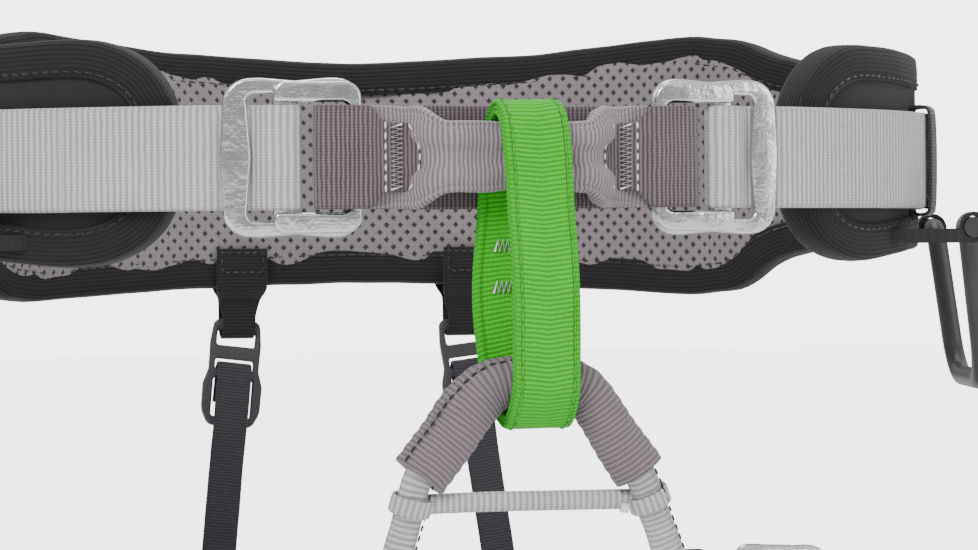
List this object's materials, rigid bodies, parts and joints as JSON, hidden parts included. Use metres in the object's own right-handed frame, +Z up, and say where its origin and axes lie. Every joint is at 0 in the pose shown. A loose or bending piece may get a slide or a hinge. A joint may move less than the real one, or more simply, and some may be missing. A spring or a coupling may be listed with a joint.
{
  "type": "climbing sit harness",
  "caption": "Padded climbing sit harness: waist belt with double-back buckles, tie-in bridge, green belay loop, sleeved leg bridge, leg loops and elastic rear risers.",
  "frame": {"origin": "centre of the waist opening at the middle height of the waist webbing", "axes": "+Z up; -Y is the front, where the belay loop hangs; +X is on the viewer's right when the harness is seen from the front"},
  "size_m": [0.3826, 0.2358, 0.2804],
  "materials": {
    "mesh_lining": "soft grey-mauve spacer mesh with small dark perforations",
    "foam": "closed-cell foam, hidden between lining and shell",
    "shell_cloth": "dark grey stretch cloth",
    "black_binding": "black ribbed stretch binding, dull",
    "grey_webbing": "light silver-grey woven webbing with cross ribs",
    "black_elastic": "black elastic band",
    "taupe_webbing": "dark taupe woven webbing, slight sheen",
    "white_thread": "white bar-tack thread",
    "polished_alloy": "forged light alloy, brushed and softly polished",
    "green_webbing": "bright leaf-green dense nylon webbing",
    "taupe_mesh": "taupe tubular sleeve, fine ribs",
    "black_tape": "black woven tape, dull",
    "dark_elastic": "dark grey elastic webbing",
    "black_plastic": "moulded black acetal, fine texture",
    "black_tube": "flexible black extruded tube, satin"
  },
  "bodies": {
    "waist_belt": {"waist_lining": "mesh_lining", "waist_foam": "foam", "waist_shell": "shell_cloth", "waist_binding": "black_binding", "waist_webbing": "grey_webbing", "left_webbing_tail": "grey_webbing", "right_webbing_tail": "grey_webbing", "left_tail_keeper": "black_elastic", "right_tail_keeper": "black_elastic", "left_riser_tab": "black_tape", "right_riser_tab": "black_tape", "gear_loop_tunnels": "black_tape", "tie_in_backing": "taupe_webbing", "tie_in_bridge": "taupe_webbing", "tie_in_bar_tacks": "white_thread"},
    "left_waist_buckle": {"left_waist_outer_frame": "polished_alloy", "left_waist_inner_frame": "polished_alloy", "left_waist_webbing_wrap": "grey_webbing"},
    "right_waist_buckle": {"right_waist_outer_frame": "polished_alloy", "right_waist_inner_frame": "polished_alloy", "right_waist_webbing_wrap": "grey_webbing"},
    "belay_loop": {"belay_loop": "green_webbing", "belay_loop_bar_tacks": "white_thread"},
    "leg_assembly": {"bridge_sleeve": "taupe_mesh", "bridge_webbing": "grey_webbing", "bridge_cross_strap": "grey_webbing", "left_leg_lining": "mesh_lining", "left_leg_foam": "foam", "left_leg_shell": "shell_cloth", "left_leg_binding": "black_binding", "left_leg_webbing": "grey_webbing", "left_leg_tail": "grey_webbing", "left_leg_buckle_strap": "grey_webbing", "left_leg_junction": "black_tape", "right_leg_lining": "mesh_lining", "right_leg_foam": "foam", "right_leg_shell": "shell_cloth", "right_leg_binding": "black_binding", "right_leg_webbing": "grey_webbing", "right_leg_tail": "grey_webbing", "right_leg_buckle_strap": "grey_webbing", "right_leg_junction": "black_tape", "left_riser_anchor": "black_tape", "right_riser_anchor": "black_tape"},
    "left_leg_buckle": {"left_leg_outer_frame": "polished_alloy", "left_leg_inner_frame": "polished_alloy", "left_leg_webbing_wrap": "grey_webbing"},
    "right_leg_buckle": {"right_leg_outer_frame": "polished_alloy", "right_leg_inner_frame": "polished_alloy", "right_leg_webbing_wrap": "grey_webbing"},
    "left_riser": {"left_riser_hook": "black_plastic", "left_riser_strap": "dark_elastic"},
    "right_riser": {"right_riser_hook": "black_plastic", "right_riser_strap": "dark_elastic"},
    "left_gear_loop": {"left_gear_loop": "black_tube"},
    "right_gear_loop": {"right_gear_loop": "black_tube"}
  },
  "joints": [
    {"name": "left_waist_buckle_tilt", "type": "hinge", "parent": "waist_belt", "child": "left_waist_buckle", "pos_m": [-0.0455, -0.102, 0], "axis": [0, 0, 1], "range_deg": [0, 30]},
    {"name": "right_waist_buckle_tilt", "type": "hinge", "parent": "waist_belt", "child": "right_waist_buckle", "pos_m": [0.0455, -0.102, 0], "axis": [0, 0, -1], "range_deg": [0, 30]},
    {"name": "belay_loop_swing", "type": "hinge", "parent": "waist_belt", "child": "belay_loop", "pos_m": [0.005, -0.1116, 0.005], "axis": [-1, 0, 0], "range_deg": [0, 25], "deforming": ["tie_in_bridge"]},
    {"name": "leg_assembly_swing", "type": "hinge", "parent": "belay_loop", "child": "leg_assembly", "pos_m": [0.005, -0.1116, -0.0635], "axis": [-1, 0, 0], "range_deg": [-27, 1]},
    {"name": "left_leg_buckle_tilt", "type": "hinge", "parent": "leg_assembly", "child": "left_leg_buckle", "pos_m": [-0.05543, -0.10145, -0.12839], "axis": [0, 0.4067, 0.9135], "range_deg": [0, 30]},
    {"name": "right_leg_buckle_tilt", "type": "hinge", "parent": "leg_assembly", "child": "right_leg_buckle", "pos_m": [0.07153, -0.10101, -0.12859], "axis": [0, -0.4067, -0.9135], "range_deg": [0, 30]},
    {"name": "left_riser_swing", "type": "hinge", "parent": "waist_belt", "child": "left_riser", "pos_m": [-0.039, 0.097, -0.052], "axis": [-1, 0, 0], "range_deg": [-1, 16]},
    {"name": "right_riser_swing", "type": "hinge", "parent": "waist_belt", "child": "right_riser", "pos_m": [0.039, 0.097, -0.052], "axis": [-1, 0, 0], "range_deg": [-1, 16]},
    {"name": "left_gear_loop_swing", "type": "hinge", "parent": "waist_belt", "child": "left_gear_loop", "pos_m": [-0.17075, -0.01934, -0.021], "axis": [-0.2278, 0.9737, 0], "range_deg": [0, 80]},
    {"name": "right_gear_loop_swing", "type": "hinge", "parent": "waist_belt", "child": "right_gear_loop", "pos_m": [0.17071, -0.01949, -0.021], "axis": [-0.2403, -0.9707, 0], "range_deg": [0, 80]}
  ],
  "couplings": [
    {"joint": "leg_assembly_swing", "follows": "belay_loop_swing", "ratio": -1.018},
    {"joint": "left_riser_swing", "follows": "belay_loop_swing", "ratio": 0.565},
    {"joint": "right_riser_swing", "follows": "belay_loop_swing", "ratio": 0.565}
  ]
}
